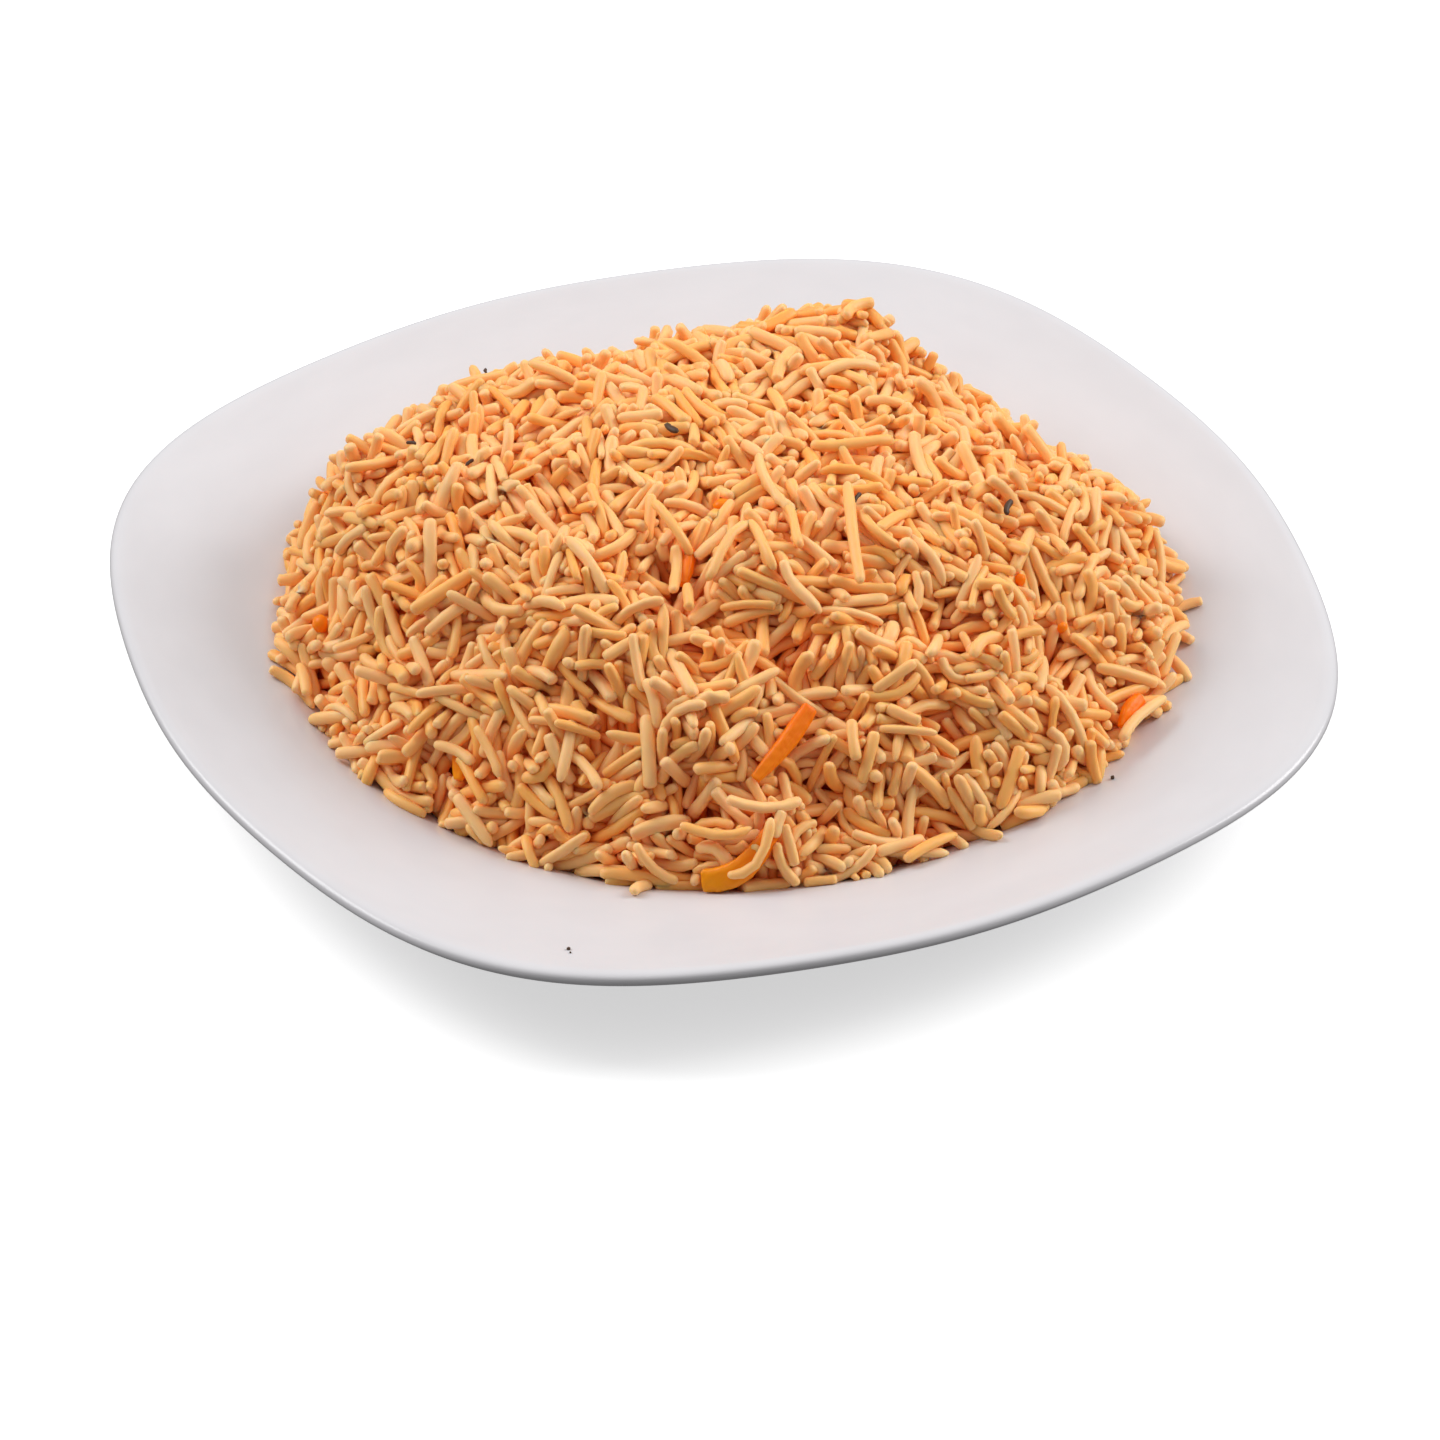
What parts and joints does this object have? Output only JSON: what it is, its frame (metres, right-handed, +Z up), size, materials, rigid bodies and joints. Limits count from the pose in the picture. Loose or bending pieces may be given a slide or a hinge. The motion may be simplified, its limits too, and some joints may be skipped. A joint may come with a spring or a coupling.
{
  "type": "plate of bukhari rice",
  "caption": "Rounded-square white plate heaped with an uneven dome of spiced long-grain rice, with carrot strips and cumin seeds in it",
  "frame": {"origin": "on the table under the middle of the plate", "axes": "+Z up; the plate's four sides face +X, -X, +Y and -Y, with its swelling corners between them"},
  "size_m": [0.2464, 0.2464, 0.0646],
  "materials": {
    "porcelain": "white glazed porcelain, smooth and softly glossy",
    "rice": "cooked rice grains stained peach orange with stock and oil, satin, slightly translucent",
    "carrot": "cooked carrot, moist and satin"
  },
  "bodies": {
    "root": {"plate": "porcelain", "rice": "rice", "carrot_front": "carrot", "carrot_middle": "carrot", "carrot_right": "carrot", "carrot_hollow": "carrot", "carrot_left": "carrot"}
  },
  "joints": []
}
